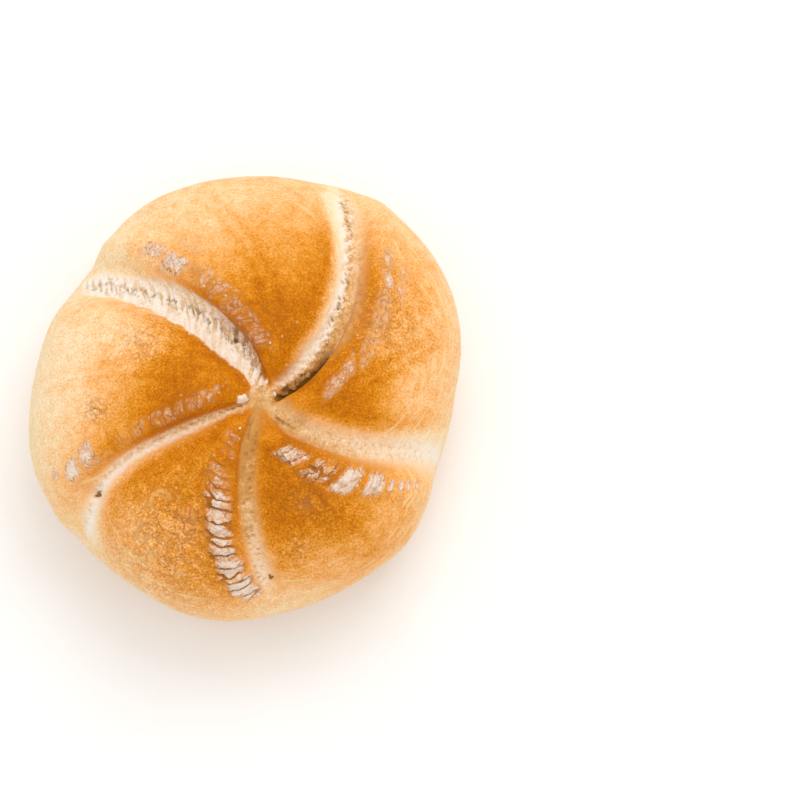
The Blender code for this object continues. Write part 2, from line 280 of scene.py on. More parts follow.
# Flour that dried on the ridge behind a lip, by fold: from where to where along it, how far behind its
# line, half its width, how strong it is, and how far it lies in plates rather than as dust
flourPatches = {
    4: (
        (0.23, 0.31, 7.2, 2.4, 1.0, 0.6),
        (0.34, 0.42, 7.8, 3.2, 0.85, 0.7),
        (0.45, 0.515, 8.0, 3.7, 1.25, 0.35),
        (0.545, 0.605, 7.5, 3.1, 1.2, 0.35),
        (0.635, 0.655, 7.1, 1.5, 1.3, 0.0),
        (0.68, 0.695, 6.9, 1.3, 1.25, 0.0),
        (0.715, 0.73, 6.7, 1.2, 1.2, 0.0),
        (0.76, 0.775, 6.4, 1.2, 1.1, 0.0),
    ),
    3: (
        (0.16, 0.24, 4.4, 1.6, 0.45, 0.1),
        (0.27, 0.37, 6.1, 2.9, 0.62, 0.4),
        (0.37, 0.60, 6.1, 2.9, 0.98, 1.0),
        (0.60, 0.69, 5.4, 3.0, 1.05, 1.0),
        (0.69, 0.75, 4.2, 2.8, 1.25, 1.0),
        (0.75, 0.80, 2.6, 2.4, 1.1, 0.7),
    ),
    1: (
        (0.48, 0.55, 7.6, 2.3, 0.95, 0.1),
        (0.56, 0.63, 8.7, 2.0, 0.92, 0.1),
        (0.50, 0.57, 13.2, 1.8, 0.5, 0.1),
        (0.32, 0.48, 8.4, 2.5, 0.58, 0.2),
        (0.15, 0.32, 7.2, 2.0, 0.5, 0.1),
    ),
    0: (
        (0.56, 0.60, 9.4, 1.9, 0.95, 0.2),
        (0.61, 0.66, 8.7, 1.6, 0.85, 0.3),
        (0.58, 0.68, 13.6, 1.9, 0.55, 0.1),
        (0.38, 0.47, 10.9, 2.7, 0.58, 0.0),
        (0.47, 0.55, 10.2, 2.8, 0.58, 0.0),
        (0.25, 0.36, 9.5, 2.3, 0.68, 0.0),
    ),
    2: (
        (0.14, 0.21, 5.0, 1.6, 0.5, 0.2),
        (0.21, 0.47, 4.5, 1.5, 0.4, 0.3),
        (0.57, 0.625, 6.0, 2.6, 1.0, 0.2),
        (0.645, 0.70, 6.0, 2.3, 1.15, 0.2),
        (0.74, 0.77, 8.8, 1.3, 0.8, 0.1),
    ),
}
# Where the crust is baked darker (above 0) or paler: place seen from above, radius, by how much
bakeZones = (
    ((8.8, 14.5), 11.0, 0.09),
    ((-17.0, -6.0), 9.0, 0.11),
    ((-14.0, -28.0), 13.0, -0.03),
    ((-6.0, -46.0), 9.0, 0.20),
    ((16.0, -31.0), 11.0, 0.20),
    ((32.0, -36.0), 10.0, 0.18),
    ((26.0, -49.0), 8.0, 0.10),
    ((29.0, -5.0), 8.0, 0.16),
    ((30.0, 23.0), 7.0, 0.10),
    ((-38.0, 4.0), 16.0, -0.28),
    ((-26.0, 14.0), 10.0, -0.26),
    ((-47.0, -14.0), 10.0, -0.16),
    ((-8.0, 38.0), 13.0, -0.20),
    ((-27.0, 31.0), 11.0, -0.26),
    ((40.0, 6.0), 9.0, -0.10),
    ((37.0, -5.0), 6.0, -0.16),
    ((-46.0, 6.0), 13.0, -0.10),
    ((-38.0, 28.0), 9.0, -0.12),
)
# Where blisters and wrinkles roughen the crust, in the same way
wrinkleZones = (
    ((31.0, 14.0), 10.0, 0.8),
    ((-33.4, -7.1), 2.6, 1.0),
    ((-14.0, -36.0), 14.0, 0.7),
    ((-22.0, 9.0), 6.0, 0.6),
    ((18.0, -28.0), 9.0, 0.5),
    ((-11.6, -32.4), 2.6, 0.7),
    ((14.6, -28.8), 3.0, 0.35),
    ((13.3, -38.6), 3.0, 0.6),
)
# Blisters that broke and left a pale raised rim: place, radius, how thick the rim is, which way it is open
blisterRims = (((-17.8, -28.2), 2.3, 0.4, -50.0), ((-21.5, -34.0), 2.0, 0.4, 20.0))
# Crumbs stuck in the star and beside it: place and radius
stuckCrumbs = (
    ((0.5, -4.2), 1.1), ((6.4, 0.1), 0.8), ((-0.6, -11.3), 0.25), ((-1.9, -13.3), 0.25), ((8.1, -3.1), 0.4),
)
# How deep the bake is from the star (0) to the belly (1), and from the belly to the edge of the flat base
bakeByWay = ((0.0, 0.1, 0.25, 0.5, 0.65, 0.8, 0.95, 1.05), (0.72, 0.78, 0.79, 0.61, 0.43, 0.28, 0.12, 0.04))
bakeBelow = ((0.0, 0.3, 0.7, 1.0), (0.15, 0.12, 0.30, 0.62))
bodyGrid = {
    "sectorColumns": 150, "domeRows": 190, "undersideRows": 30, "baseRows": 5, "triangles": 192000,
    "curveSamples": 900,  # along the dome's curve, before its rows are spaced evenly
    "foldShift": 37.0,  # mm between the patterns of one fold and the next, so that no two look alike
}


def zoneSum(zones, x, y):
    total = 0.0
    for (atX, atY), radius, amount in zones:
        total = total + amount * bell(np.hypot(x - atX, y - atY), radius)
    return total


def stuckCrumb(x, y):
    bit = 0.0 * x
    for (atX, atY), size in stuckCrumbs:
        turn = np.arctan2(y - atY, x - atX) + atX
        radius = size * (1.0 + 0.22 * np.sin(2.0 * turn) + 0.15 * np.sin(5.0 * turn))
        bit = np.maximum(bit, bell(np.hypot(x - atX, y - atY), radius, 4))
    return bit


def blisterRim(x, y):
    rim = 0.0 * x
    for (atX, atY), radius, thick, gap in blisterRims:
        line = bell(np.hypot(x - atX, y - atY) - radius, thick)
        facing = np.cos(np.arctan2(y - atY, x - atX) - math.radians(gap))
        rim = np.maximum(rim, line * (1.0 - smoothStep(0.2, 0.8, facing)))
    return rim


def crumbWidth(fold, way, side):
    width = np.interp(way, bandPlaces, fold[side]) * (0.45 + 0.55 * smoothStep(0.0, 0.15, way))
    gone = smoothStep(fold["crumbEnd"] - 0.16, fold["crumbEnd"], way)
    return width * (1.0 - gone) - 2.5 * gone


def foldLooks(fold, across, way):
    smooth = across > 0.0
    width = np.where(smooth, crumbWidth(fold, way, "smoothWidths"), crumbWidth(fold, way, "lipWidths"))
    toLip = 1.0 - smoothStep(-fold["toneSoft"], fold["toneSoft"], across - fold["toneAt"])
    pore = bell(across - np.interp(way, bandPlaces, fold["poreAt"]), fold["poreWidth"])
    fading = 1.0 - smoothStep(0.75, 1.0, way)
    fibres = fold["fibres"][1] + (fold["fibres"][0] - fold["fibres"][1]) * smoothStep(-1.2, 0.8, across)
    beside = bell(across - width - 0.4, 2.1)
    # on the lip side the tone is darker, partly the crumb's own beige and partly painted shade under the lip
    tone = fold["tone"] + (fold["lipShadedTone"] - fold["tone"]) * toLip
    return {
        "crumbEdge": width - np.abs(across),
        "edgeSoft": np.where(smooth, fold["softSmooth"], fold["softLip"]) + 0.6 * smoothStep(0.5, 0.95, way),
        "pale": fold["pale"] * smoothStep(0.08, 0.25, way) * beside * smooth,
        "crumbTone": tone + fold["paling"] * (0.45 - way),
        "fibres": np.clip(fibres + fold["fibres"][2] * pore, 0.0, 1.0) * fading,
        "pores": fold["pores"] * pore * fading,
        # hollow: painted shade in the undercut hollow under the lip, where the relief cuts deepest
        "hollow": (fold["hollow"] / folds[0]["hollow"]) ** 1.7 * hollowShare(fold, across, way),
    }


def looksRow(index, way, x, y, gapBefore, gapAfter):
    before, after = folds[index], folds[(index + 1) % len(folds)]
    share = gapAfter / np.maximum(gapBefore + gapAfter, 1e-6)
    near = smoothStep(0.35, 0.65, share)
    first, second = foldLooks(before, gapBefore, way), foldLooks(after, -gapAfter, way)
    looks = {name: near * first[name] + (1.0 - near) * second[name] for name in first}
    looks["crumbEdge"] = np.clip(np.maximum(first["crumbEdge"], second["crumbEdge"]), -8.0, 4.0)
    fromStar = np.hypot(x - rollForm["star"][0], y - rollForm["star"][1])
    centre = bell(fromStar, rollForm["starCrumb"], 4)
    looks["crumbEdge"] = np.maximum(looks["crumbEdge"], rollForm["starCrumb"] - fromStar)
    for name, value in (("crumbTone", 0.92), ("pores", 0.0), ("fibres", 0.0)):
        looks[name] = looks[name] + (value - looks[name]) * centre
    flour, plates = 0.0 * x, 0.0 * x
    for start, end, gap, half, amount, platy in flourPatches[(index + 1) % len(folds)]:
        window = smoothStep(start - 0.02, start + 0.01, way) * (1.0 - smoothStep(end - 0.01, end + 0.02, way))
        spread = window * bell(gapAfter - gap, half, 4)
        flour = np.maximum(flour, amount * spread)
        plates = np.maximum(plates, platy * spread)
    bake = np.interp(way, *bakeByWay) + zoneSum(bakeZones, x, y)
    across = near * gapBefore - (1.0 - near) * gapAfter
    beside = bell(np.abs(across) - 6.0, 4.0) * (1.0 - smoothStep(0.6, 0.85, way))
    nearest = smoothStep(0.46, 0.54, share)  # narrow, so that a pattern isn't drawn out between two folds
    number = nearest * index + (1.0 - nearest) * ((index + 1) % len(folds))
    aside = nearest * gapBefore - (1.0 - nearest) * gapAfter
    along = way * rollForm["domeArc"] + bodyGrid["foldShift"] * number
    looks["foldPlace"] = np.stack([along, aside, 0.0 * x], -1)
    looks["flour"] = flour
    # painted shade in the holes, passed on through the hollow attribute
    for (atX, atY), radius, _, dark in spots:
        shade = dark * bell(np.hypot(x - atX, y - atY), 0.6 * radius)
        looks["hollow"] = np.maximum(looks["hollow"], shade)
    looks["plates"] = plates
    looks["bake"] = np.clip(bake + 0.10 * beside - looks.pop("pale"), 0.0, 1.0)
    looks["wrinkle"] = np.clip(zoneSum(wrinkleZones, x, y), 0.0, 1.0) + 0.0 * x
    looks["rim"] = blisterRim(x, y) * (1.0 - smoothStep(0.9, 1.0, way))
    looks["crumbBit"] = stuckCrumb(x, y) * (1.0 - smoothStep(0.5, 0.6, way))
    return looks


def sectorRow(index, out, way, columns):
    before, after = folds[index], folds[(index + 1) % len(folds)]
    low, high = foldAngle(before, out), foldAngle(after, out)
    high = high + 360.0 if high < low else high
    angle = np.linspace(low, high, columns + 1)[:-1]
    reach = reachFromStar(angle)
    radius = out * reach
    gapBefore = np.radians(angle - low) * radius * foldSlant(before, out)
    gapAfter = np.radians(high - angle) * radius * foldSlant(after, out)
    x = rollForm["star"][0] + radius * np.cos(np.radians(angle))
    y = rollForm["star"][1] + radius * np.sin(np.radians(angle))
    apart = smoothStep(0.2 * rollForm["starPitRadius"], rollForm["starPitRadius"], radius)
    rise = apart * relief(before, after, gapBefore, gapAfter, way) - (1.0 - apart) * rollForm["starPit"]
    petal = np.sin(np.pi * (angle - low) / (high - low)) ** 2
    swell = rollForm["petalSwell"] * petal * smoothStep(0.05, 0.5, way) * (1.0 - smoothStep(0.7, 1.1, way))
    rise = rise + swell
    rise = rise - rollForm["dimpleDepth"] * bell(radius, rollForm["dimpleRadius"])
    wavy = unevenness(x, y, rollForm["crustWave"]) * smoothStep(0.05, 0.3, way)
    rise = rise + rollForm["crustUnevenness"] * wavy
    for (atX, atY), size, depth, _ in spots:
        rise = rise - depth * bell(np.hypot(x - atX, y - atY), size)
    looks = looksRow(index, way, x, y, gapBefore, gapAfter)
    return {"angle": angle, "reach": reach, "rise": rise, "gapAfter": gapAfter, "looks": looks}


def joinLooks(parts):
    return {name: np.concatenate([part["looks"][name] for part in parts]) for name in parts[0]["looks"]}


def domeRings(columns, rows):
    outs, levels, ways = domeCurve(rows)
    slopes = np.gradient(levels) / np.maximum(np.gradient(outs) * rollForm["outlineRadii"][0], 1e-6)
    rings, looks = [], []
    for out, level, way, slope in zip(outs, levels, ways, slopes):
        upright = 1.0 / np.hypot(1.0, slope)
        outward = -slope * upright
        parts, ring = [], []
        for index in range(len(folds)):
            part = sectorRow(index, out, way, columns)
            after = folds[(index + 1) % len(folds)]
            lip = floorWidth(after, way) + rollForm["lipWall"]
            lean = rollForm["overhang"] * smoothStep(0.02, 0.12, way) * (1.0 - smoothStep(0.3, 0.75, way))
            lean = lean * after["depth"] / folds[0]["depth"]
            lean = lean * bell(part["gapAfter"] - lip, rollForm["lipWall"])
            radius = out * part["reach"] + part["rise"] * outward
            aim = np.radians(part["angle"])
            x = rollForm["star"][0] + radius * np.cos(aim) - lean * np.sin(aim)
            y = rollForm["star"][1] + radius * np.sin(aim) + lean * np.cos(aim)
            ring.append(np.stack([x, y, level + part["rise"] * upright], -1))
            parts.append(part)
        rings.append(np.concatenate(ring))
        looks.append(joinLooks(parts))
    return rings, looks


def undersideRings(columns, rows, baseRows):
    top = [sectorRow(index, 1.0, 1.0, columns) for index in range(len(folds))]
    aim = np.radians(np.concatenate([part["angle"] for part in top]))
    reach = np.concatenate([part["reach"] for part in top])
    belly = np.array(rollForm["star"]) + np.stack([np.cos(aim), np.sin(aim)], -1) * reach[:, None]
    size = np.hypot(belly[:, 0], belly[:, 1])
    rings, looks = [], []
    outs, levels = undersideCurve(rows)
    for step, (out, level) in enumerate(zip(outs, levels), 1):
        way = 1.0 + rollForm["foldsRunOn"] * step / rows
        parts = [sectorRow(index, 1.0, way, columns) for index in range(len(folds))]
        rise = np.concatenate([part["rise"] for part in parts])
        plan = belly * (out + rise * (1.0 - step / rows) / size)[:, None]
        rings.append(np.concatenate([plan, np.full((len(plan), 1), level)], -1))
        ringLooks = joinLooks(parts)
        ringLooks["bake"] = np.full(len(plan), np.interp(step / rows, *bakeBelow))
        looks.append(ringLooks)
    edge = rings[-1]
    for step in range(1, baseRows + 1):
        rings.append(edge * np.array([1.0, 1.0, 0.0]) * (1.0 - step / (baseRows + 1)))
        baseLooks = dict(looks[-1])
        baseLooks["bake"] = np.full(len(edge), bakeBelow[1][-1] + 0.1 * step / baseRows)
        looks.append(baseLooks)
    return rings, looks


def rollSurface():
    columns = bodyGrid["sectorColumns"]
    rings, looks = domeRings(columns, bodyGrid["domeRows"])
    peak, peakLooks = rings[0].mean(axis=0), {name: value[:1] for name, value in looks[0].items()}
    under, underLooks = undersideRings(columns, bodyGrid["undersideRows"], bodyGrid["baseRows"])
    rings, looks = rings[1:] + under, looks[1:] + underLooks
    points = np.concatenate([[peak], *rings, [[0.0, 0.0, 0.0]]])
    low, high = points.min(axis=0), points.max(axis=0)
    shift = np.array([(low[0] + high[0]) / 2, (low[1] + high[1]) / 2, low[2]])
    last = {name: value[:1] for name, value in looks[-1].items()}
    attributes = {
        name: np.concatenate([peakLooks[name], *[ring[name] for ring in looks], last[name]]) for name in last
    }
    return points - shift, attributes, len(rings), len(rings[0])


def closedRingMesh(name, points, ringCount, around):
    ids = 1 + np.arange(ringCount * around).reshape(ringCount, around)
    beside = np.roll(ids, -1, axis=1)
    quads = np.stack([ids[:-1], ids[1:], beside[1:], beside[:-1]], -1).reshape(-1, 4)
    topFan = np.stack([np.zeros(around, int), ids[0], beside[0]], -1)
    baseFan = np.stack([np.full(around, len(points) - 1), beside[-1], ids[-1]], -1)
    mesh = bpy.data.meshes.new(name)
    mesh.from_pydata((points * mm).tolist(), [], quads.tolist() + topFan.tolist() + baseFan.tolist())
    mesh.polygons.foreach_set("use_smooth", np.ones(len(mesh.polygons), bool))
    return mesh


def storeLooks(mesh, attributes):
    for name, values in attributes.items():
        kind, field = ("FLOAT_VECTOR", "vector") if values.ndim == 2 else ("FLOAT", "value")
        layer = mesh.attributes.new(name, kind, "POINT")
        layer.data.foreach_set(field, np.ascontiguousarray(values, dtype=np.float32).ravel())


def toLinear(hexColour):
    channels = [int(hexColour[k : k + 2], 16) / 255 for k in (1, 3, 5)]
    return tuple(c / 12.92 if c <= 0.04045 else ((c + 0.055) / 1.055) ** 2.4 for c in channels) + (1.0,)


# What follows a node's name and a space below, as in "Math MULTIPLY", sets the choice named here
nodeChoices = {
    "Math": "operation", "VectorMath": "operation", "MapRange": "interpolation_type", "Mix": "data_type",
    "TexNoise": "noise_dimensions", "TexVoronoi": "voronoi_dimensions",
    "GeometryNodeInputNamedAttribute": "data_type",
}


def addNode(tree, name, *inputs, **settings):  # inputs in the order they show, and in a dict those by name
    kind, _, choice = name.partition(" ")
    node = tree.nodes.new(kind if "Node" in kind else "ShaderNode" + kind)
    if choice:
        setattr(node, nodeChoices[kind], choice)
    for setting, value in settings.items():
        setattr(node, setting, value)
    shown = [socket for socket in node.inputs if socket.enabled]
    pairs = list(zip(shown, [value for value in inputs if not isinstance(value, dict)]))
    for named in [value for value in inputs if isinstance(value, dict)]:
        pairs += [(next(s for s in shown if s.name == key), value) for key, value in named.items()]
    for socket, value in pairs:
        if isinstance(value, bpy.types.Node):
            value = next(s for s in value.outputs if s.enabled)
        if isinstance(value, bpy.types.NodeSocket):
            tree.links.new(value, socket)
        else:
            socket.default_value = value
    return node


# Patterns that the relief and the colours share, so that painted shade lies where the relief is deep, in the
# pores and between the strands. Lengths in mm, along the fold and across it. Cells with cracks between them:
# plates of flour, and slashes in its dust.
cellPatterns = {
    "plates": {
        "size": (2.5, 7.5), "slant": 0.0, "randomness": 0.65, "crack": (0.039, 0.13),
        "warp": {"Scale": 0.45, "Detail": 2.0}, "centre": 0.5,
    },
    "slashes": {
        "size": (1.0, 1.9), "slant": 0.4, "randomness": 0.9, "crack": (0.04, 0.2),
        "warp": {"Scale": 0.8, "Detail": 1.0}, "centre": 0.0,
    },
}
patterns = {
    "stray": 1.6,  # how far the cells' edges stray
    "pores": (1.25, 2.0),
    "strands": (1.25, 3.2),  # gap, length
    "strandSlant": 1.0,
    "crumbGrain": 0.8,
    "wrinkles": 2.6,
    "blisters": (3.6, 0.15),  # gap, share of it that the blister takes
    "beads": (1.9, 0.13),
    "streaks": (9.0, 1.0),  # length, gap
}


def cellCracks(add, place, look):
    warp = add("TexNoise 2D", {"Vector": place, **look["warp"]})
    stray = add("VectorMath SUBTRACT", warp.outputs["Color"], (look["centre"], look["centre"], 0.5))
    moved = add("VectorMath MULTIPLY_ADD", stray, (patterns["stray"], patterns["stray"], 0.0), place)
    parts = add("SeparateXYZ", moved)
    slanted = add("Math MULTIPLY_ADD", parts.outputs[1], look["slant"], parts.outputs[0])
    turned = add("CombineXYZ", slanted, parts.outputs[1])
    sized = add("VectorMath MULTIPLY", turned, (1 / look["size"][0], 1 / look["size"][1], 1.0))
    cells = add(
        "TexVoronoi 2D", {"Vector": sized, "Scale": 1.0, "Randomness": look["randomness"]},
        feature="DISTANCE_TO_EDGE",
    )
    return add("MapRange SMOOTHSTEP", cells, *look["crack"], 1.0, 0.0)


def crumbPores(add, place):
    along, across = patterns["pores"]
    sized = add("VectorMath MULTIPLY", place, (1 / along, 1 / across, 1.0))
    cells = add("TexVoronoi 2D", {"Vector": sized, "Scale": 1.0, "Randomness": 1.0})
    hole = add("MapRange SMOOTHSTEP", cells, 0.10, 0.42, 1.0, 0.0)
    chosen = add("MapRange", cells.outputs["Color"], 0.34, 0.5)
    return add("Math MULTIPLY", hole, chosen)


def crumbStrands(add, place):
    parts = add("SeparateXYZ", place)
    slanted = add("Math MULTIPLY_ADD", parts.outputs[1], patterns["strandSlant"], parts.outputs[0])
    turned = add("CombineXYZ", slanted, parts.outputs[1])
    gap, length = patterns["strands"]
    sized = add("VectorMath MULTIPLY", turned, (1 / gap, 1 / length, 1.0))
    field = add("TexNoise 2D", {"Vector": sized, "Scale": 1.0, "Detail": 2.0, "Roughness": 0.5})
    return add("MapRange SMOOTHSTEP", field, 0.38, 0.58)


def crustWrinkles(add, place):
    field = add(
        "TexNoise", {"Vector": place, "Scale": 1 / patterns["wrinkles"], "Detail": 2.0, "Distortion": 0.8}
    )
    centred = add("Math SUBTRACT", field, 0.5)
    return add("MapRange SMOOTHSTEP", add("Math ABSOLUTE", centred), 0.0, 0.09, 1.0, 0.0)


def crumbGrain(add, place):
    scale = 1 / patterns["crumbGrain"]
    return add("TexNoise 2D", {"Vector": place, "Scale": scale, "Detail": 3.0, "Roughness": 0.6})


def crustBlisters(add, place, name):
    gap, share = patterns[name]
    cells = add("TexVoronoi", {"Vector": place, "Scale": 1 / gap, "Randomness": 1.0})
    chosen = add("MapRange", cells.outputs["Color"], 0.45, 0.75)
    dome = add("MapRange SMOOTHSTEP", cells, 0.3 * share, share, 1.0, 0.0)
    return add("Math MULTIPLY", dome, chosen)


def rimStreaks(add, place):
    length, gap = patterns["streaks"]
    sized = add("VectorMath MULTIPLY", place, (1 / length, 1 / length, 1 / gap))
    field = add("TexNoise", {"Vector": sized, "Scale": 1.0, "Detail": 1.0})
    return add("MapRange SMOOTHSTEP", field, 0.57, 0.66)


# Baked wheat crust and torn crumb. The crust is a dry skin that browned unevenly: golden on the rim, deep
# brown on the petals, with pale streaks on its sides and small blisters. The crumb in the folds never
# browned, so it is pale, matt and porous, and flour that dried on the ridges is chalky and cracked into
# plates. The crust's real grain is finer than this and wouldn't show, so it is drawn at half a millimetre.
crustLook = {
    "bakeColours": (
        (0.00, "#F0D7AF"), (0.18, "#F1C590"), (0.36, "#EFAF6C"), (0.52, "#E59C4A"),
        (0.66, "#D78921"), (0.80, "#CA7602"), (1.00, "#AF6000"),
    ),
    "crumbTones": (
        (0.00, "#EEE3D5"), (0.30, "#EFD6B9"), (0.55, "#E6BE92"), (0.78, "#D6A76D"), (1.00, "#C68F4C"),
    ),
    "crumbWhite": "#EDE2D4",
    # painted shade in the gaps between the crumb's strands
    "crumbGap": "#D2B187",
    # painted shade in the crumb's pores
    "crumbDeep": "#94713C",
    # painted shade for the hollows under the lips and for the holes
    "paintedHollowShade": "#84601F",
    "flourWhite": "#E3D3C4",
    "flourDust": "#E0B592",
    "crackBrown": "#A0621F",
    "roughPink": "#E2AC78",
    "streakPale": "#EFC88A",
    # Size in mm, detail and roughness of each unevenness, and how far it moves the bake
    "grain": (0.5, 3.0, 0.65),
    "mottle": (2.6, 4.0, 0.62),
    "patch": (12.0, 2.0, 0.5),
    "grainBake": (0.6, 1.9),  # on smooth crust, on wrinkled crust
    "mottleBake": 0.55,
    "patchBake": 0.30,
    # How strongly each shows at most
    "streaks": 0.75,
    "blisters": 0.6,
    "beads": 0.5,
    "creases": 0.7,
    "chapping": 0.3,
    "dust": 0.75,
    "plates": 0.92,
    "plateCracks": 0.8,
    # how strongly the painted shade shows between the strands
    "strandGapShadeAmount": 0.8,
    # how strongly the painted shade shows in the pores
    "pores": 0.75,
    # how strongly the painted shade shows in the hollows and holes
    "hollowShadeAmount": 0.92,
    "stuckCrumbs": 0.9,
    "crustRoughness": 0.6,
    "crumbRoughness": 0.95,
    "ior": 1.42,
}


def fillRamp(ramp, stops):
    while len(ramp.color_ramp.elements) < len(stops):
        ramp.color_ramp.elements.new(0.5)
    for element, (position, hexColour) in zip(ramp.color_ramp.elements, stops):
        element.position = position
        element.color = toLinear(hexColour)
    return ramp.outputs["Color"]


def emptyMaterial(name):
    material = bpy.data.materials.new(name)
    material.use_nodes = True
    material.node_tree.nodes.clear()
    return material, partial(addNode, material.node_tree)


def crustMaterial():
    material, add = emptyMaterial("bakedWheatCrust")
    look = {name: toLinear(value) if isinstance(value, str) else value for name, value in crustLook.items()}
    fields = (
        "crumbEdge", "edgeSoft", "crumbTone", "fibres", "pores", "hollow",
        "flour", "plates", "bake", "wrinkle", "rim", "crumbBit",
    )
    at = {name: add("Attribute", attribute_name=name).outputs["Fac"] for name in fields}
    foldPlace = add("Attribute", attribute_name="foldPlace").outputs["Vector"]
    coordinates = add("TexCoord").outputs["Object"]
    place = add("VectorMath MULTIPLY", coordinates, (1 / mm,) * 3)

    noise, centred = {}, {}
    for name in ("grain", "mottle", "patch"):
        size, detail, rough = look[name]
        noise[name] = add(
            "TexNoise", {"Vector": place, "Scale": 1 / size, "Detail": detail, "Roughness": rough}
        )
        centred[name] = add("Math SUBTRACT", noise[name], 0.5)
    grain, speckle, blotch = noise["grain"], centred["grain"], centred["mottle"]

    # bake: the petals' brown, moved up and down by the grain, the mottle and wide patches
    level = at["bake"]
    coarse = add("MapRange", at["wrinkle"], 0.0, 1.0, *look["grainBake"])
    for name, weight in (("grain", coarse), ("mottle", look["mottleBake"]), ("patch", look["patchBake"])):
        level = add("Math MULTIPLY_ADD", centred[name], weight, level)
    crust = fillRamp(add("ValToRGB", level), look["bakeColours"])
    crust = add("VectorMath SCALE", crust, add("MapRange", grain, 0.3, 0.7, 1.12, 0.87))

    # pale spots on it: streaks on the pale sides, blisters, beads and the rims of broken blisters
    upright = add("SeparateXYZ", add("NewGeometry").outputs["Normal"]).outputs[2]
    onSide = add("MapRange", upright, 0.86, 0.68, 0.0, look["streaks"])
    onRim = add("MapRange", at["bake"], 0.58, 0.44)
    onSide = add("Math MULTIPLY", onSide, onRim)
    pale = add("Math MULTIPLY", rimStreaks(add, place), onSide)
    worn = add("MapRange", grain, 0.35, 0.65, 0.1, 0.75)
    raised = [(crustBlisters(add, place, name), look[name]) for name in ("blisters", "beads")]
    for field, strength in raised + [(at["rim"], worn)]:
        spot = add("Math MULTIPLY", field, strength)
        pale = add("Math MAXIMUM", pale, spot)
    creased = add("Math MULTIPLY", crustWrinkles(add, place), at["wrinkle"])
    creased = add("Math MULTIPLY", creased, look["creases"])
    chapped = add("Math MULTIPLY_ADD", speckle, 2.2, at["wrinkle"])
    chapped = add("MapRange", chapped, 0.62, 1.2, 0.0, look["chapping"])

    # flour: dust broken by slashes across the ridge, and plates with the crust showing between them
    cracks = cellCracks(add, foldPlace, cellPatterns["plates"])
    slashes = cellCracks(add, foldPlace, cellPatterns["slashes"])
    between = add("Math MULTIPLY", cracks, at["plates"])
    broken = at["flour"]
    for field, weight in ((blotch, 1.6), (speckle, 1.3), (between, -0.8)):
        broken = add("Math MULTIPLY_ADD", field, weight, broken)
    present = add("MapRange", at["flour"], 0.03, 0.3)
    slashed = add("MapRange", at["flour"], 0.6, 0.95, -0.8, 0.0)
    whole = add("Math MULTIPLY_ADD", slashes, slashed, 1.0)
    dust = add("MapRange", broken, 0.25, 0.75, 0.0, look["dust"])
    for share in (whole, present):
        dust = add("Math MULTIPLY", dust, share)
    plate = add("MapRange SMOOTHSTEP", broken, 0.72, 1.05, 0.0, look["plates"])
    plate = add("Math MULTIPLY", plate, present)
    fine = slashes
    thin = add("MapRange", grain, 0.42, 0.58, 0.05, 0.9)
    dusty = add("MapRange", dust, 0.1, 0.4)
    clean = add("MapRange", at["flour"], 0.88, 1.05, 1.0, 0.35)
    for share in (thin, dusty, clean):
        fine = add("Math MULTIPLY", fine, share)
    between = add("Math MULTIPLY", between, look["plateCracks"])
    fine = add("Math MAXIMUM", fine, between)
    for share, colour in (
        (pale, "streakPale"), (creased, "crackBrown"), (chapped, "roughPink"),
        (dust, "flourDust"), (plate, "flourWhite"), (fine, "crackBrown"),
    ):
        crust = add("Mix RGBA", share, crust, look[colour])

    # crumb: white where the dough stretched, beige under the lip, partly its own colour and partly painted
    # shade, with painted shade in its pores and between its strands
    # strands is above 0 in the gaps between the raised strands, and the tone below is darkened there as
    # painted shade
    strands = add("Math SUBTRACT", 0.5, crumbStrands(add, foldPlace))
    crumbs = add("MapRange", crumbGrain(add, foldPlace), 0.3, 0.7, 0.28, -0.28)
    streaky = add("Math MULTIPLY", at["fibres"], 0.45)
    crumbly = add("MapRange", at["fibres"], 0.0, 0.5, 0.35, 1.0)
    clouds = add("Math MULTIPLY", blotch, at["crumbTone"])
    tone = at["crumbTone"]
    for field, weight in ((strands, streaky), (crumbs, crumbly), (clouds, 1.4)):
        tone = add("Math MULTIPLY_ADD", field, weight, tone)
    tone = add("Math MULTIPLY_ADD", speckle, 0.8, tone, use_clamp=True)
    crumb = fillRamp(add("ValToRGB", tone), look["crumbTones"])
    # painted shade in the gaps between the raised strands
    gapShade = add("Math MULTIPLY", strands, at["fibres"])
    gapShade = add("MapRange", gapShade, 0.05, 0.5, 0.0, look["strandGapShadeAmount"])
    # painted shade in the crumb's pores, where the relief sinks them
    deep = add("Math MULTIPLY", crumbPores(add, foldPlace), at["pores"])
    deep = add("Math MULTIPLY", deep, look["pores"])
    for share, colour in ((gapShade, "crumbGap"), (deep, "crumbDeep")):
        crumb = add("Mix RGBA", share, crumb, look[colour])
    rough = add("Math MULTIPLY", at["edgeSoft"], speckle)
    ragged = at["crumbEdge"]
    for field, weight in ((blotch, 2.6), (rough, 3.2)):
        ragged = add("Math MULTIPLY_ADD", field, weight, ragged)
    softer = add("Math MULTIPLY", at["edgeSoft"], -1.0)
    inside = add("MapRange SMOOTHSTEP", ragged, softer, at["edgeSoft"])
    colour = add("Mix RGBA", inside, crust, crumb)

    # painted shade in the hollows under the lips and in the holes, frayed by the strands, and white crumbs
    # stuck on top
    frayed = add("Math MULTIPLY_ADD", strands, 0.45, at["hollow"])
    # dark is the painted shade's share
    dark = add("MapRange", frayed, 0.38, 0.62, 0.0, look["hollowShadeAmount"])
    stuck = add("MapRange", at["crumbBit"], 0.3, 0.7, 0.0, look["stuckCrumbs"])
    for share, shade in ((dark, "paintedHollowShade"), (stuck, "crumbWhite")):
        colour = add("Mix RGBA", share, colour, look[shade])

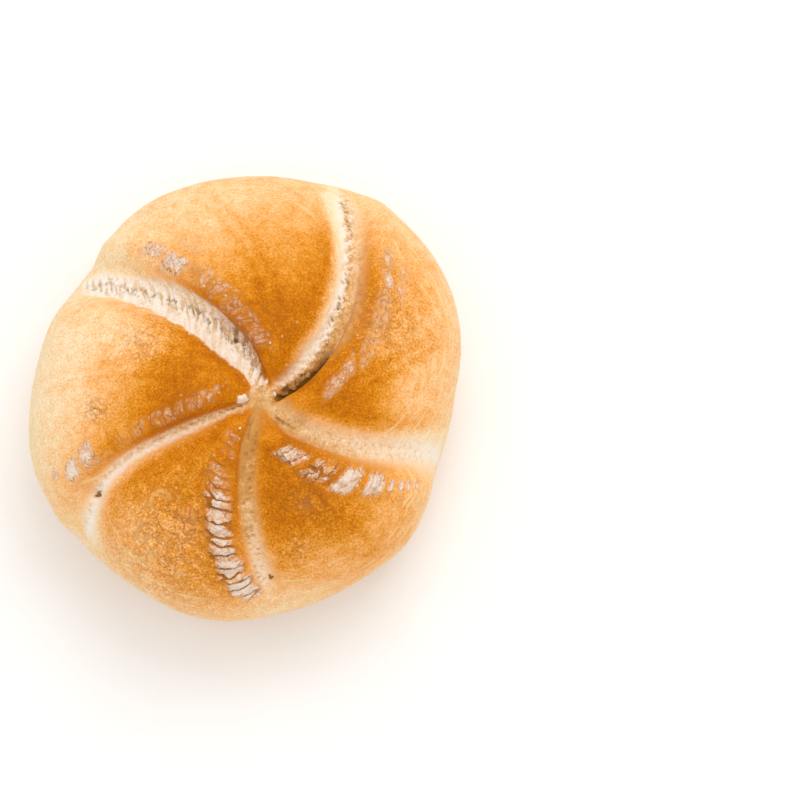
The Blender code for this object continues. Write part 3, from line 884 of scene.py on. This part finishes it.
    matt = add("Math MAXIMUM", inside, dust)
    roughness = add("MapRange", matt, 0.0, 1.0, look["crustRoughness"], look["crumbRoughness"])
    height = add("Math MULTIPLY_ADD", grain, 0.6, noise["mottle"])
    bump = add("Bump", {"Height": height, "Strength": 0.5, "Distance": 0.4 * mm})
    surface = {"Base Color": colour, "Roughness": roughness, "Normal": bump}
    shader = add("BsdfPrincipled", {**surface, "Specular IOR Level": 0.12, "IOR": look["ior"]})
    add("OutputMaterial", {"Surface": shader})
    return material


# Fine relief on the roll's form, in mm
reliefSizes = {
    "Strand Height": 0.75,
    "Crumb Grain": 0.4,
    "Pore Depth": 0.6,
    "Skin Step": 0.3,
    "Plate Height": 0.3,
    "Crack Depth": 0.45,
    "Flake Height": 0.22,
    "Rim Height": 0.25,
    "Crumb Bit Height": 0.7,
    "Crust Lumps": 0.30,
    "Crust Grain": 0.10,
    "Blister Height": 0.16,
    "Wrinkle Height": 0.45,
}
reliefNoise = {"Crust Lumps": (3.2, 2.0, 0.55), "Crust Grain": (1.1, 1.0, 0.5)}  # mm, detail, roughness


def modifierInputs(modifier, values):
    for item in modifier.node_group.interface.items_tree:
        if item.item_type == "SOCKET" and item.in_out == "INPUT" and item.name in values:
            modifier[item.identifier] = values[item.name]


def geometryTree(name, inputs):
    tree = bpy.data.node_groups.new(name, "GeometryNodeTree")
    tree.interface.new_socket("Geometry", in_out="INPUT", socket_type="NodeSocketGeometry")
    for label in inputs:
        tree.interface.new_socket(label, in_out="INPUT", socket_type="NodeSocketFloat")
    tree.interface.new_socket("Material", in_out="INPUT", socket_type="NodeSocketMaterial")
    tree.interface.new_socket("Geometry", in_out="OUTPUT", socket_type="NodeSocketGeometry")
    add = partial(addNode, tree)
    return tree, add, add("NodeGroupInput")


def finishTree(add, start, geometry):
    real = add("GeometryNodeRealizeInstances", {"Geometry": geometry})
    painted = add("GeometryNodeSetMaterial", {"Geometry": real, "Material": start.outputs["Material"]})
    add("NodeGroupOutput", painted)


def reliefTree():
    tree, add, start = geometryTree("rollRelief", reliefSizes)
    at = {}
    for name in ("crumbEdge", "fibres", "pores", "flour", "plates", "wrinkle", "rim", "crumbBit"):
        at[name] = add("GeometryNodeInputNamedAttribute FLOAT", {"Name": name})
    foldPlace = add("GeometryNodeInputNamedAttribute FLOAT_VECTOR", {"Name": "foldPlace"})
    place = add("VectorMath MULTIPLY", add("GeometryNodeInputPosition"), (1 / mm,) * 3)

    inside = add("MapRange SMOOTHSTEP", at["crumbEdge"], -0.3, 0.9)
    crumbHere = add("Math MULTIPLY", inside, at["fibres"])
    crumbly = add("MapRange", at["fibres"], 0.0, 0.5, 0.35, 1.0)
    cracks = cellCracks(add, foldPlace, cellPatterns["plates"])
    slashes = cellCracks(add, foldPlace, cellPatterns["slashes"])
    # Each height is its fields times its size. The next two lists are added up in this order.
    fields = {
        "Strand Height": (add("Math SUBTRACT", crumbStrands(add, foldPlace), 0.5), crumbHere),
        "Crumb Grain": (add("Math SUBTRACT", crumbGrain(add, foldPlace), 0.5), inside, crumbly),
        "Pore Depth": (crumbPores(add, foldPlace), at["pores"], inside),
        "Skin Step": (crumbHere,),
        "Plate Height": (add("Math SUBTRACT", 1.0, cracks),),
        "Crack Depth": (cracks,),
        "Flake Height": (
            add("Math SUBTRACT", 1.0, slashes),
            add("MapRange", at["flour"], 0.8, 1.0, 1.0, 0.15),
            at["flour"],
        ),
        "Blister Height": (crustBlisters(add, place, "blisters"),),
        "Rim Height": (at["rim"],),
        "Wrinkle Height": (
            add("MapRange", crustWrinkles(add, place), 0.0, 1.0, 0.2, -1.0), at["wrinkle"],
        ),
        "Crumb Bit Height": (at["crumbBit"],),
    }
    for label, (size, detail, rough) in reliefNoise.items():
        field = add("TexNoise", {"Vector": place, "Scale": 1 / size, "Detail": detail, "Roughness": rough})
        fields[label] = (add("Math SUBTRACT", field, 0.5),)
    heights = {}
    for label, (height, *shares) in fields.items():
        for share in [*shares, start.outputs[label]]:
            height = add("Math MULTIPLY", height, share)
        heights[label] = height

    plates = add("Math SUBTRACT", heights["Plate Height"], heights["Crack Depth"])
    onPlates = add("MapRange SMOOTHSTEP", at["plates"], 0.2, 0.7)
    plates = add("Math MULTIPLY", plates, onPlates)
    blisters = add("Math ADD", heights["Blister Height"], heights["Rim Height"])
    crust = heights["Crust Lumps"]
    for height in (heights["Crust Grain"], blisters, heights["Wrinkle Height"]):
        crust = add("Math ADD", crust, height)
    crust = add("Math MULTIPLY", crust, add("Math SUBTRACT", 1.0, inside))
    total = add("Math ADD", heights["Strand Height"], heights["Crumb Grain"])
    for operation, height in (
        ("SUBTRACT", heights["Pore Depth"]), ("SUBTRACT", heights["Skin Step"]),
        ("ADD", heights["Flake Height"]), ("ADD", plates), ("ADD", crust),
        ("ADD", heights["Crumb Bit Height"]),
    ):
        total = add("Math " + operation, total, height)
    level = add("SeparateXYZ", place).outputs[2]
    aboveBase = add("MapRange SMOOTHSTEP", level, 0.3, 4.0, 0.0, mm)
    total = add("Math MULTIPLY", total, aboveBase)
    offset = add("VectorMath SCALE", add("GeometryNodeInputNormal"), total)
    moved = add("GeometryNodeSetPosition", {"Geometry": start.outputs["Geometry"], "Offset": offset})
    finishTree(add, start, moved)
    return tree


def bakeModifiers(name, piece):
    scene = bpy.context.scene
    if piece.name not in scene.collection.objects:
        scene.collection.objects.link(piece)
    evaluated = piece.evaluated_get(bpy.context.evaluated_depsgraph_get())
    mesh = bpy.data.meshes.new_from_object(evaluated)
    piece.modifiers.clear()
    old = piece.data
    piece.data = mesh
    mesh.name = name
    bpy.data.meshes.remove(old)
    return piece


crust = crustMaterial()
points, attributes, ringCount, around = rollSurface()
bodyMesh = closedRingMesh("rollBody", points, ringCount, around)
storeLooks(bodyMesh, attributes)
print("roll surface", len(points), "points")

rollBody = bpy.data.objects.new("rollBody", bodyMesh)
rough = rollBody.modifiers.new("relief", "NODES")
rough.node_group = reliefTree()
modifierInputs(rough, {**reliefSizes, "Material": crust})
thin = rollBody.modifiers.new("thin", "DECIMATE")
thin.ratio = min(1.0, bodyGrid["triangles"] / (2.0 * ringCount * around))
bakeModifiers("rollBody", rollBody)
print("rollBody", len(rollBody.data.polygons), "faces")
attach(rollBody, "root")
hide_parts("bread_roll")


# Bits that stand loose on the roll: flakes of dried flour on the ridges and crumbs along the torn folds.
# Lengths in mm. They lie where the field is above "Least", up to "Per Area" of them on a square mm at
# "Most". "kept" is how far each field allows them: the flakes thin out on whole plates of flour, and the
# crumbs end with the torn crumb.
looseBits = {
    "flourFlakes": {
        "field": "flour", "kept": ("flour", 0.85, 1.05, 1.0, 0.1), "seed": 4, "Least": 0.4, "Most": 1.0,
        "Per Area": 0.3, "Smallest": 0.15, "Largest": 0.42, "Thickness": 0.3, "Raggedness": 0.5,
        "pale": "#E2C6AA", "dark": "#CF9F6E", "patch": 1.6,
    },
    "tornCrumbs": {
        "field": "fibres", "kept": ("crumbEdge", 0.2, 1.2, 0.0, 1.0), "seed": 9, "Least": 0.3, "Most": 0.9,
        "Per Area": 0.55, "Smallest": 0.15, "Largest": 0.38, "Thickness": 0.7, "Raggedness": 0.6,
        "pale": "#F4EADB", "dark": "#D8B988", "patch": 1.2,
    },
}
bitShape = {"segments": 7, "rings": 5, "breadth": 0.72}


def looseBitsTree(name, look):
    tree, add, start = geometryTree(name, [label for label in look if label[0].isupper()])
    size = start.outputs
    field = add("GeometryNodeInputNamedAttribute FLOAT", {"Name": look["field"]})
    limit = add("GeometryNodeInputNamedAttribute FLOAT", {"Name": look["kept"][0]})
    share = add("MapRange", field, size["Least"], size["Most"])
    allowed = add("MapRange", limit, *look["kept"][1:])
    for factor in (allowed, size["Per Area"], mm**-2):
        share = add("Math MULTIPLY", share, factor)
    spread = add(
        "GeometryNodeDistributePointsOnFaces",
        {"Mesh": size["Geometry"], "Density": share, "Seed": look["seed"]},
    )
    flat = add("CombineXYZ", 1.0, bitShape["breadth"], size["Thickness"])
    bit = add(
        "GeometryNodeMeshUVSphere",
        {"Segments": bitShape["segments"], "Rings": bitShape["rings"], "Radius": mm},
    )
    bit = add("GeometryNodeTransform", {"Geometry": bit, "Scale": flat})
    bit = add("GeometryNodeSetShadeSmooth", {"Geometry": bit})
    around = add("FunctionNodeRandomValue", {"Min": 0.0, "Max": 2 * math.pi, "Seed": look["seed"] + 1})
    twist = add("FunctionNodeAxisAngleToRotation", {"Axis": (0.0, 0.0, 1.0), "Angle": around})
    turned = add("FunctionNodeRotateRotation", spread.outputs["Rotation"], twist, rotation_space="LOCAL")
    scale = add(
        "FunctionNodeRandomValue",
        {"Min": size["Smallest"], "Max": size["Largest"], "Seed": look["seed"] + 2},
    )
    placed = add(
        "GeometryNodeInstanceOnPoints",
        {"Points": spread.outputs["Points"], "Instance": bit, "Rotation": turned, "Scale": scale},
    )
    real = add("GeometryNodeRealizeInstances", {"Geometry": placed})
    metres = add("GeometryNodeInputPosition")
    noise = add("TexNoise", {"Vector": metres, "Scale": 1 / mm, "Detail": 2.0})
    centred = add("VectorMath SUBTRACT", noise.outputs["Color"], (0.5,) * 3)
    amount = add("Math MULTIPLY", size["Raggedness"], mm)
    offset = add("VectorMath SCALE", centred, amount)
    ragged = add("GeometryNodeSetPosition", {"Geometry": real, "Offset": offset})
    finishTree(add, start, ragged)
    return tree


def bitMaterial(name, look):  # dried flour and dry wheat crumb: chalky, matt, a little toasted here and there
    material, add = emptyMaterial(name)
    place = add("TexCoord").outputs["Object"]
    patch = add("TexNoise", {"Vector": place, "Scale": 1 / (look["patch"] * mm), "Detail": 2.0})
    level = add("MapRange", patch, 0.38, 0.66)
    colour = add("Mix RGBA", level, toLinear(look["pale"]), toLinear(look["dark"]))
    bump = add("Bump", {"Height": patch, "Strength": 0.3, "Distance": 0.2 * mm})
    shader = add(
        "BsdfPrincipled",
        {"Base Color": colour, "Roughness": 0.95, "Normal": bump, "Specular IOR Level": 0.1},
    )
    add("OutputMaterial", {"Surface": shader})
    return material


for name, look in looseBits.items():
    bits = bpy.data.objects.new(name, rollBody.data.copy())
    scatter = bits.modifiers.new("scatter", "NODES")
    scatter.node_group = looseBitsTree(name, look)
    matt = bitMaterial("dryWheat" + name[0].upper() + name[1:], look)
    modifierInputs(scatter, {**look, "Material": matt})
    bakeModifiers(name, bits)
    for attribute in [a.name for a in bits.data.attributes if a.name in attributes]:
        bits.data.attributes.remove(bits.data.attributes[attribute])
    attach(bits, "root")
    print(name, len(bits.data.polygons), "faces")


# Floor: a sheet of matt white card, evenly lit, with the faintest unevenness of its pulp. Lengths in mm.
floorLook = {"size": 3000.0, "white": "#F7F6F4", "shade": "#F2F1EF", "pulp": 30.0}


def floorSheet():
    half = floorLook["size"] * mm / 2
    mesh = bpy.data.meshes.new("floorSheet")
    corners = [(-half, -half, 0), (half, -half, 0), (half, half, 0), (-half, half, 0)]
    mesh.from_pydata(corners, [], [(0, 1, 2, 3)])
    material, add = emptyMaterial("mattWhiteCard")
    place = add("TexCoord").outputs["Object"]
    pulp = add("TexNoise", {"Vector": place, "Scale": 1 / (floorLook["pulp"] * mm), "Detail": 3.0})
    colour = add("Mix RGBA", pulp, toLinear(floorLook["white"]), toLinear(floorLook["shade"]))
    shader = add("BsdfPrincipled", {"Base Color": colour, "Roughness": 0.95, "Specular IOR Level": 0.1})
    add("OutputMaterial", {"Surface": shader})
    mesh.materials.append(material)
    floor = bpy.data.objects.new("floorSheet", mesh)
    bpy.context.scene.collection.objects.link(floor)
    return floor


floorSheet()

# Camera: almost straight above, leaning towards the viewer's side, as the photo's outline and folds need
cameraSet = {"elevation": 80.0, "distance": 645.7, "aim": (37.17, -0.78, 22.0), "lens": 120.0}
# Light: a white room and one large soft box behind and slightly right, which leaves the lips' undersides
# dim. Its size and place are in metres.
lightSet = {"room": 1.0, "boxPower": 1.7, "boxSize": 0.45, "boxPlace": (0.16, 0.36, 0.65)}


def placeCamera():
    camera = bpy.data.objects.new("camera", bpy.data.cameras.new("camera"))
    bpy.context.scene.collection.objects.link(camera)
    tilt = math.radians(cameraSet["elevation"])
    aim, distance = cameraSet["aim"], cameraSet["distance"]
    place = (aim[0], aim[1] - distance * math.cos(tilt), aim[2] + distance * math.sin(tilt))
    camera.location = [value * mm for value in place]
    camera.rotation_euler = (math.pi / 2 - tilt, 0.0, 0.0)
    camera.data.lens = cameraSet["lens"]
    camera.data.clip_end = 20.0
    bpy.context.scene.camera = camera


def placeLights():
    scene = bpy.context.scene
    world = bpy.data.worlds.new("whiteRoom")
    world.use_nodes = True
    background = world.node_tree.nodes["Background"]
    background.inputs["Color"].default_value = (1.0, 1.0, 1.0, 1.0)
    background.inputs["Strength"].default_value = lightSet["room"]
    scene.world = world
    box = bpy.data.lights.new("softBox", "AREA")
    box.energy = lightSet["boxPower"]
    box.size = lightSet["boxSize"]
    holder = bpy.data.objects.new("softBox", box)
    scene.collection.objects.link(holder)
    x, y, z = lightSet["boxPlace"]
    holder.location = (x, y, z)
    holder.rotation_euler = (math.atan2(math.hypot(x, y), z), 0.0, math.atan2(y, x) + math.pi / 2)
    scene.view_settings.view_transform = "Standard"


placeCamera()
placeLights()
print("camera and light placed")
